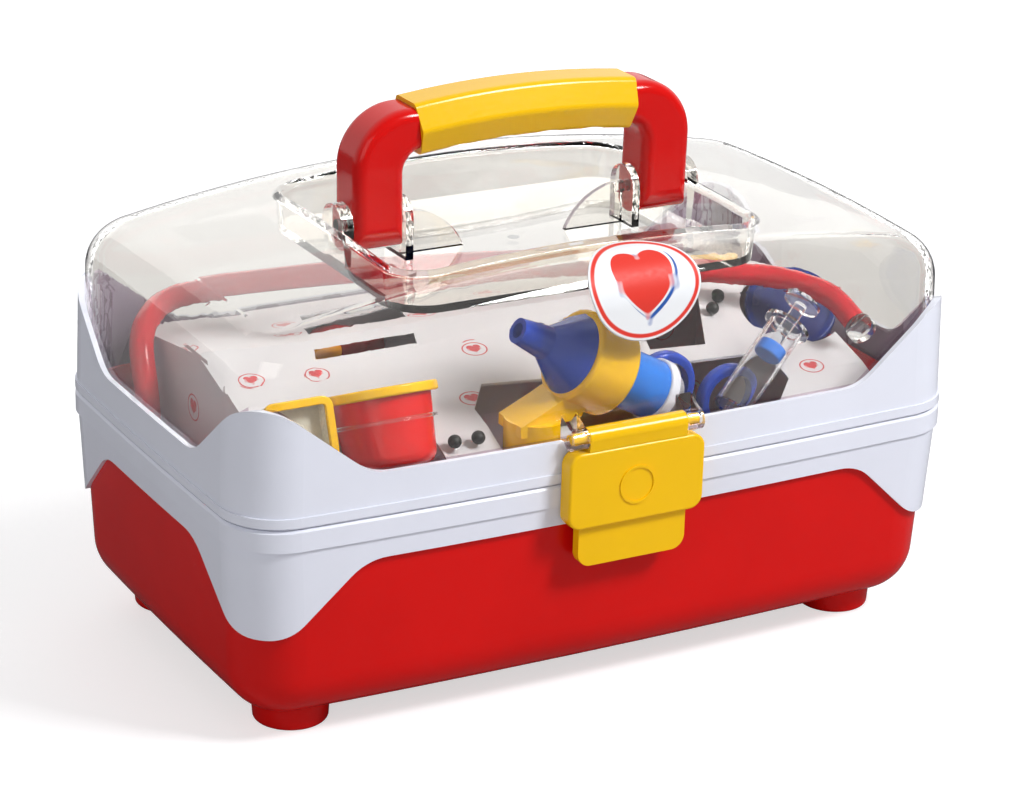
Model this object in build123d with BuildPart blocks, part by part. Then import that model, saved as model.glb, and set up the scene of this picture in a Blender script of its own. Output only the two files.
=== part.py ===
from build123d import *
import os
from math import asin, cos, degrees, radians, sin, tan

# Toy doctor case.  Millimetres, +Z up, latch side faces -Y, the feet stand on Z = 0.

os.makedirs("parts", exist_ok=True)

# ---------------------------------------------------------------- case: driving sizes
HALF_LENGTH = 140.0       # plan of the white bands, to the corners of the bowed sides
HALF_DEPTH = 80.6
CORNER = 21.0             # upright corner radius
BOW_LONG = 3.4            # the long sides swell outwards by this at their middle
BOW_SHORT = 1.2
SPLIT = 82.0              # height at which the case opens
SPLIT_GAP = 0.3

UNDERSIDE = 8.0
TUB_INSET = 1.5           # the tub lies behind the lower band by the band's thickness
TUB_DRAFT = 0.043
TUB_WALL = 2.4
TUB_EDGE = 18.0           # big round between walls and underside
LIP_RISE = 3.0            # locating lip that the lid drops over
LIP_WALL = 1.4
LIP_CLEAR = 0.5
FOOT_R = 13.3
FOOT_TAPER = 4.0
FOOT_X = 110.7
FOOT_Y = 51.8
FOOT_EDGE = 1.5

LID_INSET = 1.9
LID_DRAFT = 0.023
LID_WALL = 2.2
LID_TOP = 158.0
LID_EDGE = 16.5
CROWN_LONG = 15.1         # the top falls by this from the middle to the ends
CROWN_DEPTH = 2.7

VALLEY_UP = 97.3          # wavy upper edge of the upper band
PEAK_UP = 122.6
VALLEY_DOWN = 67.0        # wavy lower edge of the lower band
PEAK_DOWN = 41.8
WAVE_R = 19.0
UP_FRONT_FLAT = 95.4
UP_FRONT_SLOPE = 0.8
UP_SIDE_FLAT = 39.5
UP_SIDE_SLOPE = 0.84
DOWN_FRONT_FLAT = 97.0
DOWN_FRONT_SLOPE = 0.93
DOWN_SIDE_FLAT = 38.5
DOWN_SIDE_SLOPE = 0.9
COLLAR = 0.45             # raised strips along the split
COLLAR_UP = 4.0
COLLAR_DOWN = 7.5
GROOVE = 0.8              # chamfer that makes the V groove at the split

# ---------------------------------------------------------------- recess and handle
RECESS_X = 69.0           # half sizes of the hand recess at its floor
RECESS_Y = 52.5
RECESS_R = 12.0
RECESS_TAPER = 4.0
RECESS_FLOOR = 140.8
RECESS_LIP = 1.5

PIVOT_Z = 154.2           # handle pivots, in the middle of the recess
LEG_OUT = 66.3
LEG_IN = 47.2
HANDLE_DEPTH = 9.5        # half depth, and the round at the foot of each leg
HANDLE_TOP = 194.6        # red bar at the shoulders
BAR_TALL = 14.4
BAR_UNDER = HANDLE_TOP - BAR_TALL
SHOULDER_R = 21.0
ARMPIT_R = 8.0
SPREAD = 0.6              # the legs lean out by this towards the shoulders
HANDLE_EDGE = 4.2
ARCH = 2.6                # the bar rises by this at its middle
GRIP_HALF = 42.5
GRIP_RISE = 6.8           # the grip's axis lies this far over the bar's underside at its ends
GRIP_MID = BAR_UNDER + GRIP_RISE
GRIP_TALL = 9.2
GRIP_DEEP = 11.6
GRIP_WALL = 2.6
GRIP_EDGE = 2.6
SCALLOP_R = 16.0
SCALLOP_DEPTH = 0.8
SCALLOP_PITCH = 17.0

LUG_WALL = 3.0
LUG_R = 8.0
LUG_CLEAR = 0.4
FIN_WALL = 2.0
FIN_TOE = 20.0            # where the gusset fin meets the recess floor
FIN_BULGE = (0.42, 0.78)  # its arc passes here, as shares of its length and height
PIN_R = 2.2
RUN_FIT = 0.06            # radial clearance of everything that turns on a pin

# ---------------------------------------------------------------- latch
LATCH_AXIS_Y = -87.6
LATCH_AXIS_UP = 1.9       # above the valley of the upper band
LATCH_AXIS_Z = VALLEY_UP + LATCH_AXIS_UP
BARREL_R = 3.6
BARREL_HALF = 19.0
LATCH_LUG_R = 3.8
LATCH_LUG = 6.0
LATCH_SIDE_GAP = 0.4
PEG_R = 1.9
PLATE_HALF = 26.4
PLATE_DROP = 4.4          # the plate starts this far under the latch's axis
PLATE_TOP = LATCH_AXIS_Z - PLATE_DROP
PLATE_BOTTOM = 67.2
PLATE_R = 5.0
PLATE_FACE = 91.0
FLAP_BACK = 84.95         # back of the flap, just clear of the raised collar
FLAP_WALL = 2.2
TAB_HALF = 21.0
TAB_BOTTOM = 52.4
TAB_FACE = 88.6
TAB_R = 5.0
FLAP_EDGE = 1.0
RING_R = 7.0
RING_Z = 80.5
CATCH_HALF = 12.0
CATCH_TOP = 72.5
CATCH_TALL = 3.0
CATCH_FACE = 85.3
HOOK_GAP = 0.4

# ---------------------------------------------------------------- rear hinges
HINGE_X = 75.0
HINGE_Y = 87.5
KNUCKLE_R = 3.4
KNUCKLE_MID = 11.2
KNUCKLE_END = 9.0
KNUCKLE_GAP = 0.4
WEB = 7.5
HINGE_PIN_R = 1.25

# ---------------------------------------------------------------- card insert
CARD = 0.9
CARD_END_GAP = 23.0       # from the corners of the case to the card's ends, front and back
CARD_FRONT_GAP = 7.6
CARD_BACK_GAP = 20.6
CARD_X = HALF_LENGTH - CARD_END_GAP
CARD_FRONT_Y = CARD_FRONT_GAP - HALF_DEPTH
CARD_BACK_Y = HALF_DEPTH - CARD_BACK_GAP
CARD_FRONT_Z = 84.0
CARD_CREASE_Y = -52.0
CARD_CREASE_Z = 93.5
CARD_CREST_Y = 8.0
CARD_CREST_Z = 111.5
CARD_BACK_Z = 104.0
CARD_FOOT_Y = -56.0       # the ends are cut away under the front to clear the tub's round
CARD_FOOT_Z = 24.0
POCKET_X = (-96.0, -6.0)  # folded pocket under the rear window
POCKET_FRONT_Y = -20.0
POCKET_Z = 84.0
WINDOW_GAP = 2.0          # card stays this far from what stands in its windows
REST_GAP = 0.3            # pieces that lie on one another

# ---------------------------------------------------------------- instruments
OTO_TIP = Vector(-31, -60, 130)
OTO_END = Vector(29, -60, 97)
OTO_NOZZLE_R = 4.4
OTO_NOZZLE = 12.0
OTO_CONE_R = 14.2
OTO_CONE = 24.0
OTO_HEAD_R = 16.4
OTO_HEAD = 42.0
OTO_BARREL_R = 10.5
OTO_BARREL = 61.0
OTO_RING_R = 11.5
OTO_RING = 65.0
OTO_CAP_R = 8.5
OTO_CAP = 70.0
OTO_HANDLE_R = 11.0
OTO_HANDLE_X = -23.0
OTO_HANDLE_BOTTOM = 50.0
OTO_NECK_R = 6.0
OTO_BORE_R = 2.6
OTO_EDGE = 1.6
OTO_SHOULDER = 6.064      # the handle's round part ends this far under the head's corner
OTO_SADDLE_IN = 1.0       # the saddle's flanks lie this far inside the handle's
OTO_SADDLE = 8.0          # half width of the saddle between handle and head

CUP_TOP = Vector(-77, -50, 109.5)
CUP_LEAN = 23.9           # degrees, leaning back
CUP_R = 17.0
CUP_DEEP = 24.0
CUP_WALL = 1.8
CUP_EDGE = 5.0
CUP_TAPER = 4.0
CUP_RIM_R = 19.6
CUP_RIM = 3.4

SYR_LOW = Vector(53.5, -63.5, 89.3)
SYR_HIGH = Vector(82.5, -53.5, 113.2)
SYR_R = 6.6
SYR_WALL = 1.1
SYR_FLANGE_R = 8.6
SYR_FLANGE = 1.6
SYR_NOZZLE_R = 2.2
SYR_NOZZLE = 4.0
PISTON_GAP = 0.25
PISTON = 5.0
PISTON_EDGE = 0.8
PISTON_AT = 24.0
ROD_R = 2.4
ROD_OUT = 9.0             # rod standing out of the barrel
THUMB_R = 6.8
THUMB = 1.8

LOOP_LEFT = Vector(36, -46, 95)
LOOP_RIGHT = Vector(63.5, -46, 86)
LOOP_R = 12.6
LOOP_BORE = 9.2
LOOP_THICK = 5.0
SHANK = 35.0              # pivot below the middle of the loops
BLADE = 36.0
BLADE_WIDE = 7.0
BLADE_THICK = 2.2
BLADE_GAP = 0.3
RIVET_R = 1.8
RIVET_HEAD_R = 3.4
RIVET_HEAD = 1.0

DISC_AT = Vector(107, -19, 105.5)
DISC_FACES = Vector(-0.3, -0.6, 0.74)
DISC_R = 17.0
DISC_THICK = 6.0
DISC_RIM = 2.6
DISC_SUNK = 2.0
YOKE_R = 4.3
YOKE_TIP_R = 5.2
YOKE_TIP = 7.0
ARC_SHARE = 0.45          # of the shorter run beside each bend
YOKE_ROUTE = [
    (114, -50, 108.5), (112, -38, 115), (101, -20, 118), (73, -4, 119.5), (40, 25, 118),
    (0, 49, 114.5), (-45, 62, 113.5), (-92, 64, 114), (-112, 56, 114), (-126, 39, 110),
    (-128, 27, 92), (-128, 24, 70),
]
BOX_AT = Vector(-110, -55, 104.5)
BOX_LEAN = 20.0
BOX_WIDE = 25.0
BOX_TALL = 22.0
BOX_DEEP = 8.0
BOX_R = 4.0
BOX_WALL = 1.4
BOX_RIM = 1.8
STICK_FROM = (64, 46)
STICK_TO = (111, 20)
STICK_WIDE = 8.0
STICK_THICK = 3.2
HAMMER_FROM = (-90, 12)
HAMMER_TO = (-46, 41)
HAMMER_R = 4.0
HEAD_R = 8.5
HEAD_LONG = 26.0
SPATULA_X = -62.0
SPATULA_Y = -8.0
SPATULA_LONG = 58.0
SPATULA_WIDE = 12.0
SPATULA_THICK = 2.0
KNOB_R = 2.4
KNOBS = [(-54, -60), (-45, -60), (82, -8), (76, -14)]
TIE_R = 0.7
CUP_TIE_DOWN = 8.0
STICKER = 0.25
STICKER_AT = Vector(7, -72.3, 143)
STICKER_TILT = 36.0
STICKER_WIDE = 43.0
STICKER_TALL = 35.0


def drafted_plan(plane, inset):
    """Rounded rectangle with bowed sides, drawn in by inset, on the given plane."""
    x = HALF_LENGTH - inset
    y = HALF_DEPTH - inset
    with BuildSketch(plane) as plan:
        with BuildLine():
            ThreePointArc((-x, -y), (0, -y - BOW_LONG), (x, -y))
            ThreePointArc((x, -y), (x + BOW_SHORT, 0), (x, y))
            ThreePointArc((x, y), (0, y + BOW_LONG), (-x, y))
            ThreePointArc((-x, y), (-x - BOW_SHORT, 0), (-x, -y))
        make_face()
        fillet(plan.vertices(), CORNER)
    return plan.sketch


def drafted_block(start, end, inset, draft):
    """Block between two heights whose walls lean in by draft per millimetre."""
    with BuildPart() as block:
        add(drafted_plan(Plane.XY.offset(start), inset))
        add(drafted_plan(Plane.XY.offset(end), inset + draft * abs(end - start)))
        loft(ruled=True)
    return block.part


def tub_form(shrink, top):
    """Bowl shape of the tub, shrunk by a wall."""
    bottom = UNDERSIDE + shrink
    extra = TUB_INSET + shrink - TUB_DRAFT * (top - SPLIT)
    with BuildPart() as bowl:
        add(drafted_block(top, bottom, extra, TUB_DRAFT))
        fillet(bowl.edges().group_by(Axis.Z)[0], TUB_EDGE - shrink)
    return bowl.part


def crowned_slab(shrink):
    """Everything under the crowned top: an arched section swung round a long radius."""
    swing_r = (HALF_LENGTH ** 2 + CROWN_LONG ** 2) / (2 * CROWN_LONG)
    swing = asin((HALF_LENGTH + CORNER) / swing_r)
    centre = (0, 0, LID_TOP - swing_r)
    start = Plane(centre, x_dir=(0, 1, 0), z_dir=(cos(swing), 0, sin(swing)))
    side = HALF_DEPTH + CORNER
    top = swing_r - shrink
    shoulder = top - CROWN_DEPTH * (side / HALF_DEPTH) ** 2
    with BuildPart() as slab:
        with BuildSketch(start):
            with BuildLine():
                ThreePointArc((-side, shoulder), (0, top), (side, shoulder))
                Polyline((side, shoulder), (side, top - LID_TOP), (-side, top - LID_TOP), (-side, shoulder))
            make_face()
        revolve(axis=Axis(centre, (0, 1, 0)), revolution_arc=2 * degrees(swing))
    return slab.part


def lid_form(shrink, bottom):
    """Dome shape of the lid, shrunk by a wall."""
    with BuildPart() as dome:
        add(drafted_block(bottom, LID_TOP + CROWN_DEPTH, LID_INSET + shrink, LID_DRAFT))
        add(crowned_slab(shrink), mode=Mode.INTERSECT)
        rim = dome.faces().sort_by(Axis.Z)[-1].outer_wire().edges()
        fillet(rim, LID_EDGE - shrink)
    return dome.part


def wave(plane, flat, slope, valley, peak, reach, base):
    """What a band leaves out: beyond a flat valley, two ramps and the peaks, up to a base."""
    foot = flat + abs(peak - valley) / slope
    with BuildSketch(plane) as outline:
        with BuildLine():
            crest = FilletPolyline(
                (-reach, peak), (-foot, peak), (-flat, valley),
                (flat, valley), (foot, peak), (reach, peak), radius=WAVE_R,
            )
            Polyline(crest @ 1, (reach, base), (-reach, base), crest @ 0)
        make_face()
    return outline.sketch


def cut_wave(front, side, valley, peak, base):
    """Trim the band in hand to its waves, wall by wall; front and side are flat and slope."""
    for end in (-1, 1):
        add(wave(Plane.YZ.offset(end * PAST_X), *side, valley, peak, PAST_Y, base))
        extrude(amount=PAST_X - HALF_LENGTH / 2, dir=(-end, 0, 0), mode=Mode.SUBTRACT)
    for end in (-1, 1):
        add(wave(Plane.XZ.offset(end * PAST_Y), *front, valley, peak, PAST_X, base))
        extrude(amount=PAST_Y - HALF_DEPTH / 2, dir=(0, end, 0), mode=Mode.SUBTRACT)


def band_form(rim, far, draft, collar):
    """Band block from its rim at the split, with a raised collar and half of the V groove."""
    rise = 1 if far > rim else -1
    with BuildPart() as block:
        add(drafted_block(rim + rise * GROOVE, far, draft * GROOVE, draft))
        add(drafted_block(rim + rise * GROOVE, rim + rise * collar, -COLLAR, 0))
        add(drafted_block(rim, rim + rise * GROOVE, GROOVE - COLLAR, -1))
    return block.part


def save(piece, name):
    piece.label = name
    export_step(piece, f"parts/{name}.step")


# ================================================================ tub and its band
PAST_X = HALF_LENGTH + CORNER    # well outside the case
PAST_Y = HALF_DEPTH + CORNER
LOW_RIM = SPLIT - SPLIT_GAP / 2
HIGH_RIM = SPLIT + SPLIT_GAP / 2
tub_outside = tub_form(0, LOW_RIM)
tub_inside = tub_form(TUB_WALL, LOW_RIM)
lid_outside = lid_form(0, HIGH_RIM)
lid_inside = lid_form(LID_WALL, HIGH_RIM)
lip_inset = LID_INSET + LID_WALL + LIP_CLEAR
lip_shelf = drafted_block(LOW_RIM, LOW_RIM - LIP_RISE, TUB_INSET + TUB_WALL / 2, TUB_DRAFT)
lip_block = drafted_block(LOW_RIM - LIP_RISE, LOW_RIM + LIP_RISE, lip_inset, 0)
lip_bore = drafted_block(LOW_RIM - 2 * LIP_RISE, LOW_RIM + 2 * LIP_RISE, lip_inset + LIP_WALL, 0)

with BuildPart() as tub:
    add(tub_outside)
    with BuildSketch(Plane.XY):
        with GridLocations(2 * FOOT_X, 2 * FOOT_Y, 2, 2):
            Circle(FOOT_R - FOOT_TAPER * UNDERSIDE / 100)
    extrude(amount=UNDERSIDE + FOOT_R / 2, taper=-FOOT_TAPER)
    fillet(tub.edges().group_by(Axis.Z)[0], FOOT_EDGE)
    add(tub_inside, mode=Mode.SUBTRACT)
    add(lip_shelf)
    add(lip_block)
    add(lip_bore, mode=Mode.SUBTRACT)
save(tub.part, "tub")

with BuildPart() as lower_band:
    add(band_form(LOW_RIM, PEAK_DOWN - CORNER, TUB_DRAFT, COLLAR_DOWN))
    cut_wave((DOWN_FRONT_FLAT, DOWN_FRONT_SLOPE), (DOWN_SIDE_FLAT, DOWN_SIDE_SLOPE),
             VALLEY_DOWN, PEAK_DOWN, 0)
    # hinge knuckles on the rear, two to each hinge
    for hinge in (-HINGE_X, HINGE_X):
        for side in (-1, 1):
            near = hinge + side * (KNUCKLE_MID / 2 + KNUCKLE_GAP)
            with BuildSketch(Plane.YZ.offset(near)):
                with Locations((HINGE_Y, SPLIT)):
                    Circle(KNUCKLE_R)
                with BuildLine():
                    Polyline(
                        (HALF_DEPTH - TUB_INSET, LOW_RIM), (HINGE_Y, LOW_RIM),
                        (HINGE_Y + KNUCKLE_R, SPLIT), (HINGE_Y, SPLIT - KNUCKLE_R),
                        (HALF_DEPTH - TUB_INSET, SPLIT - WEB - KNUCKLE_R), close=True,
                    )
                make_face()
            extrude(amount=side * KNUCKLE_END)
    # catch for the latch
    with BuildSketch(Plane.XZ.offset(HALF_DEPTH)):
        with Locations((0, CATCH_TOP - CATCH_TALL / 2)):
            Rectangle(2 * CATCH_HALF, CATCH_TALL)
    extrude(amount=CATCH_FACE - HALF_DEPTH)
    catch_front = lower_band.faces().sort_by(Axis.Y)[0]
    chamfer(catch_front.edges().filter_by(Axis.X), CATCH_TALL / 4)
    add(tub_outside, mode=Mode.SUBTRACT)
    with BuildSketch(Plane.YZ.offset(-HALF_LENGTH)):
        with Locations((HINGE_Y, SPLIT)):
            Circle(HINGE_PIN_R)
    extrude(amount=2 * HALF_LENGTH, mode=Mode.SUBTRACT)
save(lower_band.part, "lower_band")

# ================================================================ lid, its band and its recess
recess_depth = LID_TOP - RECESS_FLOOR


def recess_form(grow, floor):
    """Pocket of the hand recess, grown by a wall, from its floor up past the crown."""
    with BuildPart() as pocket:
        with BuildSketch(Plane.XY.offset(floor)):
            RectangleRounded(2 * (RECESS_X + grow), 2 * (RECESS_Y + grow), RECESS_R + grow)
        extrude(amount=2 * recess_depth, taper=-RECESS_TAPER)
    return pocket.part


recess_pocket = recess_form(0, RECESS_FLOOR)
with BuildPart() as recess_walls:
    add(recess_form(LID_WALL, RECESS_FLOOR - LID_WALL))
    add(lid_outside, mode=Mode.INTERSECT)

# The legs turn between an inner lug with a gusset fin and a pad on the recess's end wall.
lug_in = LEG_IN - LUG_CLEAR
pad_out = LEG_OUT + LUG_CLEAR
fin_top = PIVOT_Z + PIN_R

with BuildPart() as lid_dome:
    add(lid_outside)
    add(lid_inside, mode=Mode.SUBTRACT)
    add(recess_walls.part)
    add(recess_pocket, mode=Mode.SUBTRACT)
    mouth = lid_dome.edges().filter_by(
        lambda e: e.center().Z > RECESS_FLOOR + recess_depth / 2
        and abs(e.center().X) < RECESS_X + LID_WALL / 2
        and abs(e.center().Y) < RECESS_Y + LID_WALL / 2 + RECESS_LIP / 4
    )
    fillet(mouth, RECESS_LIP)
    for side in (-1, 1):
        with BuildSketch(Plane.YZ.offset(side * lug_in)):
            with Locations((0, PIVOT_Z)):
                Circle(LUG_R)
            with Locations((0, (PIVOT_Z + RECESS_FLOOR - LID_WALL / 2) / 2)):
                Rectangle(2 * LUG_R, PIVOT_Z - RECESS_FLOOR + LID_WALL / 2)
        extrude(amount=-side * LUG_WALL)
        with BuildSketch(Plane.YZ.offset(side * pad_out)):
            with Locations((0, PIVOT_Z)):
                Circle(LUG_R)
            with Locations((0, (PIVOT_Z + RECESS_FLOOR - LID_WALL / 2) / 2)):
                Rectangle(2 * LUG_R, PIVOT_Z - RECESS_FLOOR + LID_WALL / 2)
        extrude(amount=side * (RECESS_X + LID_WALL - pad_out))
        # quarter-round gusset fin
        root = side * (lug_in - LUG_WALL / 2)
        toe = side * FIN_TOE
        sag = RECESS_FLOOR - LID_WALL / 2
        with BuildSketch(Plane.XZ):
            with BuildLine():
                ThreePointArc(
                    (root, fin_top),
                    (toe + FIN_BULGE[0] * (root - toe), sag + FIN_BULGE[1] * (fin_top - sag)),
                    (toe, sag),
                )
                Polyline((toe, sag), (root, sag), (root, fin_top))
            make_face()
        extrude(amount=FIN_WALL / 2, both=True)
    # lugs for the latch's pegs, standing on the front wall over the band's valley
    for side in (-1, 1):
        with BuildSketch(Plane.YZ.offset(side * (BARREL_HALF + LATCH_SIDE_GAP))):
            with Locations((LATCH_AXIS_Y, LATCH_AXIS_Z)):
                Circle(LATCH_LUG_R)
            with BuildLine():
                Polyline(
                    (-HALF_DEPTH, VALLEY_UP + SPLIT_GAP),
                    (LATCH_AXIS_Y, VALLEY_UP + SPLIT_GAP),
                    (LATCH_AXIS_Y, LATCH_AXIS_Z + LATCH_LUG_R),
                    (-HALF_DEPTH, LATCH_AXIS_Z + 2 * LATCH_LUG_R), close=True,
                )
            make_face()
        extrude(amount=side * LATCH_LUG)
    # bores: a press fit for the handle pins, a running fit for the latch's pegs
    for side in (-1, 1):
        with BuildSketch(Plane.YZ.offset(side * (lug_in - 2 * LUG_WALL))):
            with Locations((0, PIVOT_Z)):
                Circle(PIN_R)
        extrude(amount=side * (pad_out + LID_WALL - lug_in + 2 * LUG_WALL), mode=Mode.SUBTRACT)
        with BuildSketch(Plane.YZ.offset(side * BARREL_HALF)):
            with Locations((LATCH_AXIS_Y, LATCH_AXIS_Z)):
                Circle(PEG_R + RUN_FIT)
        extrude(amount=side * (LATCH_SIDE_GAP + LATCH_LUG), mode=Mode.SUBTRACT)
save(lid_dome.part, "lid_dome")

with BuildPart() as upper_band:
    add(band_form(HIGH_RIM, PEAK_UP + CORNER, LID_DRAFT, COLLAR_UP))
    cut_wave((UP_FRONT_FLAT, UP_FRONT_SLOPE), (UP_SIDE_FLAT, UP_SIDE_SLOPE),
             VALLEY_UP, PEAK_UP, LID_TOP)
    for hinge in (-HINGE_X, HINGE_X):
        with BuildSketch(Plane.YZ.offset(hinge - KNUCKLE_MID / 2)):
            with Locations((HINGE_Y, SPLIT)):
                Circle(KNUCKLE_R)
            with BuildLine():
                Polyline(
                    (HALF_DEPTH - LID_INSET, HIGH_RIM), (HINGE_Y, HIGH_RIM),
                    (HINGE_Y + KNUCKLE_R, SPLIT), (HINGE_Y, SPLIT + KNUCKLE_R),
                    (HALF_DEPTH - LID_INSET, SPLIT + WEB + KNUCKLE_R), close=True,
                )
            make_face()
        extrude(amount=KNUCKLE_MID)
    add(lid_outside, mode=Mode.SUBTRACT)
    with BuildSketch(Plane.YZ.offset(-HALF_LENGTH)):
        with Locations((HINGE_Y, SPLIT)):
            Circle(HINGE_PIN_R + RUN_FIT)
    extrude(amount=2 * HALF_LENGTH, mode=Mode.SUBTRACT)
save(upper_band.part, "upper_band")

hinge_half = KNUCKLE_MID / 2 + KNUCKLE_GAP + KNUCKLE_END
with BuildPart() as hinge_pins:
    for hinge in (-HINGE_X, HINGE_X):
        with BuildSketch(Plane.YZ.offset(hinge - hinge_half)):
            with Locations((HINGE_Y, SPLIT)):
                Circle(HINGE_PIN_R)
        extrude(amount=2 * hinge_half)
save(hinge_pins.part, "hinge_pins")

# ================================================================ handle
# The bar and the grip follow one shallow arch over the legs.
def grip_sleeve(tall, deep, edge, reach):
    """Bar of faceted section swept along the arch, from -reach to reach."""
    arch_r = (GRIP_HALF ** 2 + ARCH ** 2) / (2 * ARCH)
    rise = ARCH - (arch_r - (arch_r ** 2 - reach ** 2) ** 0.5)
    with BuildPart() as bar:
        with BuildLine(Plane.XZ) as arch:
            ThreePointArc((-reach, GRIP_MID + rise), (0, GRIP_MID + ARCH), (reach, GRIP_MID + rise))
        with BuildSketch(Plane(arch.line @ 0, x_dir=(0, 1, 0), z_dir=arch.line % 0)) as section:
            with BuildLine():
                Polyline(
                    (-deep, 0), (-0.68 * deep, -tall), (0.68 * deep, -tall),
                    (deep, 0), (0.62 * deep, tall), (-0.62 * deep, tall), close=True,
                )
            make_face()
            fillet(section.vertices(), edge)
        sweep()
    return bar.part


grip_solid = grip_sleeve(GRIP_TALL, GRIP_DEEP, GRIP_EDGE, GRIP_HALF)
grip_core = grip_sleeve(
    GRIP_TALL - GRIP_WALL, GRIP_DEEP - GRIP_WALL, GRIP_EDGE - 1, GRIP_HALF + 1
)

with BuildPart() as handle_frame:
    with BuildSketch(Plane.XZ.offset(-HANDLE_DEPTH)) as yoke:
        with BuildLine():
            outside = FilletPolyline(
                (-LEG_OUT, PIVOT_Z - HANDLE_DEPTH), (-LEG_OUT - SPREAD, HANDLE_TOP),
                (LEG_OUT + SPREAD, HANDLE_TOP), (LEG_OUT, PIVOT_Z - HANDLE_DEPTH),
                radius=SHOULDER_R,
            )
            inside = FilletPolyline(
                (LEG_IN, PIVOT_Z - HANDLE_DEPTH), (LEG_IN + SPREAD, BAR_UNDER),
                (-LEG_IN - SPREAD, BAR_UNDER), (-LEG_IN, PIVOT_Z - HANDLE_DEPTH),
                radius=ARMPIT_R,
            )
            Line(outside @ 1, inside @ 0)
            Line(inside @ 1, outside @ 0)
        make_face()
    extrude(amount=2 * HANDLE_DEPTH)
    ends = handle_frame.faces().filter_by(Axis.Y)
    fillet(ends.edges(), HANDLE_EDGE)
    # the feet of the legs are round about the pivot
    with BuildSketch(Plane.YZ.offset(-PAST_X)) as legs:
        with Locations((0, PIVOT_Z)):
            Circle(HANDLE_DEPTH)
        with Locations((0, PIVOT_Z + LID_TOP / 2)):
            Rectangle(2 * HANDLE_DEPTH, LID_TOP)
    extrude(amount=2 * PAST_X, mode=Mode.INTERSECT)
    with BuildSketch(Plane.YZ.offset(-PAST_X)):
        with Locations((0, PIVOT_Z)):
            Circle(PIN_R + RUN_FIT)
    extrude(amount=2 * PAST_X, mode=Mode.SUBTRACT)
    with BuildSketch(Plane.XZ.offset(-PAST_Y)):
        with Locations((0, HANDLE_TOP)):
            Rectangle(2 * (GRIP_HALF - GRIP_WALL), 2 * (HANDLE_TOP - BAR_UNDER + ARCH))
    extrude(amount=2 * PAST_Y, mode=Mode.SUBTRACT)
    add(grip_solid, mode=Mode.SUBTRACT)
    add(grip_core)
save(handle_frame.part, "handle_frame")

for half, side in (("front", -1), ("rear", 1)):
    with BuildPart() as grip:
        add(grip_solid)
        # shallow finger grooves underneath
        with BuildSketch(Plane.XZ.offset(-PAST_Y)):
            for step in (-1.5, -0.5, 0.5, 1.5):
                with Locations((step * SCALLOP_PITCH, GRIP_MID - GRIP_TALL - SCALLOP_R + SCALLOP_DEPTH
                                + ARCH * (1 - (step * SCALLOP_PITCH / GRIP_HALF) ** 2))):
                    Circle(SCALLOP_R)
        extrude(amount=2 * PAST_Y, mode=Mode.SUBTRACT)
        add(grip_core, mode=Mode.SUBTRACT)
        split(bisect_by=Plane.XZ, keep=Keep.TOP if side < 0 else Keep.BOTTOM)
    save(grip.part, f"grip_{half}")

with BuildPart() as handle_pins:
    for side in (-1, 1):
        with BuildSketch(Plane.YZ.offset(side * (lug_in - LUG_WALL))):
            with Locations((0, PIVOT_Z)):
                Circle(PIN_R)
        extrude(amount=side * (pad_out + LID_WALL - lug_in + LUG_WALL))
save(handle_pins.part, "handle_pins")

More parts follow.
